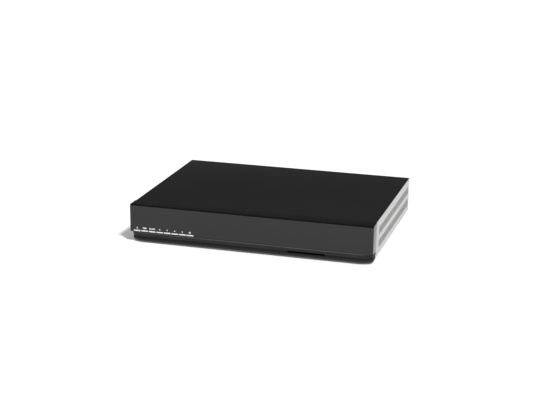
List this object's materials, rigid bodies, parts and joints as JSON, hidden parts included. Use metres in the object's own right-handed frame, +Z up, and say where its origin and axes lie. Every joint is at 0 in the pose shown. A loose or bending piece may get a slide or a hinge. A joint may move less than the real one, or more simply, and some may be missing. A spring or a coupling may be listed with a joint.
{
  "type": "satellite tv receiver",
  "caption": "Slim free-standing satellite receiver: gloss fascia with bar buttons on a dark plinth, flat black lid, vented silver sides, rear sockets, hard disk and fan inside.",
  "frame": {"origin": "on the floor, below the middle of the space that the receiver fills", "axes": "+X to the viewer's right when the fascia is faced, +Y from the fascia to the rear panel, +Z up"},
  "size_m": [0.38, 0.2892, 0.06],
  "materials": {
    "gloss_black": "high gloss",
    "matt_black": "fine matt texture",
    "lid_black": "fine satin powder coat",
    "silver_steel": "silver satin coat",
    "button_white": "satin",
    "foot_rubber": "matt",
    "board_green": "lacquered circuit board",
    "board_tan": "bare laminate",
    "aluminium": "cast and milled",
    "tinplate": "bright tinplate",
    "socket_black": "moulded",
    "lead_grey": "extruded sleeve",
    "winding_tape": "taped winding",
    "sleeve_blue": "shrink sleeve"
  },
  "bodies": {
    "casing": {"chassis_tray": "silver_steel", "rear_panel": "silver_steel", "top_cover": "lid_black", "fascia": "gloss_black", "plinth": "matt_black", "foot_front_left": "foot_rubber", "foot_front_right": "foot_rubber", "foot_rear_left": "foot_rubber", "foot_rear_right": "foot_rubber", "front_board": "board_green", "status_display": "socket_black", "infrared_receiver": "socket_black", "smart_card_reader": "socket_black", "main_board": "board_green", "processor_heat_sink": "aluminium", "tuner_module": "tinplate", "optical_socket": "socket_black", "phono_sockets": "socket_black", "hdmi_socket": "tinplate", "usb_socket": "tinplate", "ethernet_socket": "tinplate", "scart_socket_lower": "socket_black", "scart_socket_upper": "socket_black", "power_board": "board_tan", "power_transformer": "winding_tape", "reservoir_capacitor": "sleeve_blue", "power_heat_sink": "aluminium", "mains_inlet": "socket_black", "rocker_housing": "socket_black", "disk_bracket": "tinplate", "hard_disk": "aluminium", "fan_frame": "socket_black", "disk_lead": "lead_grey", "front_lead": "lead_grey", "power_harness": "lead_grey", "fan_lead": "lead_grey", "board_screw_1": "tinplate", "board_screw_2": "tinplate", "board_screw_3": "tinplate", "board_screw_4": "tinplate", "disk_screw_1": "tinplate", "disk_screw_2": "tinplate", "disk_screw_3": "tinplate", "disk_screw_4": "tinplate", "cover_screw_left": "lid_black", "cover_screw_centre": "lid_black", "cover_screw_right": "lid_black", "fan_screw_1": "tinplate", "fan_screw_2": "tinplate"},
    "standby_button": {"button_standby": "button_white"},
    "menu_button": {"button_menu": "button_white"},
    "guide_button": {"button_guide": "button_white"},
    "left_button": {"button_left": "button_white"},
    "down_button": {"button_down": "button_white"},
    "up_button": {"button_up": "button_white"},
    "right_button": {"button_right": "button_white"},
    "ok_button": {"button_ok": "button_white"},
    "rocker": {"power_rocker": "socket_black"},
    "fan_impeller": {"fan_rotor": "socket_black"}
  },
  "joints": [
    {"name": "standby_press", "type": "slide", "parent": "casing", "child": "standby_button", "axis": [0, 1, 0], "range_m": [0, 0.0008], "stiffness_N_per_m": 800},
    {"name": "menu_press", "type": "slide", "parent": "casing", "child": "menu_button", "axis": [0, 1, 0], "range_m": [0, 0.0008], "stiffness_N_per_m": 800},
    {"name": "guide_press", "type": "slide", "parent": "casing", "child": "guide_button", "axis": [0, 1, 0], "range_m": [0, 0.0008], "stiffness_N_per_m": 800},
    {"name": "left_press", "type": "slide", "parent": "casing", "child": "left_button", "axis": [0, 1, 0], "range_m": [0, 0.0008], "stiffness_N_per_m": 800},
    {"name": "down_press", "type": "slide", "parent": "casing", "child": "down_button", "axis": [0, 1, 0], "range_m": [0, 0.0008], "stiffness_N_per_m": 800},
    {"name": "up_press", "type": "slide", "parent": "casing", "child": "up_button", "axis": [0, 1, 0], "range_m": [0, 0.0008], "stiffness_N_per_m": 800},
    {"name": "right_press", "type": "slide", "parent": "casing", "child": "right_button", "axis": [0, 1, 0], "range_m": [0, 0.0008], "stiffness_N_per_m": 800},
    {"name": "ok_press", "type": "slide", "parent": "casing", "child": "ok_button", "axis": [0, 1, 0], "range_m": [0, 0.0008], "stiffness_N_per_m": 800},
    {"name": "rocker_tilt", "type": "hinge", "parent": "casing", "child": "rocker", "pos_m": [-0.13135, 0.13495, 0.024], "axis": [1, 0, 0], "range_deg": [-18, 0]},
    {"name": "fan_spin", "type": "hinge", "parent": "casing", "child": "fan_impeller", "pos_m": [-0.09318, 0.13015, 0.027], "axis": [0, 1, 0], "continuous": true}
  ]
}
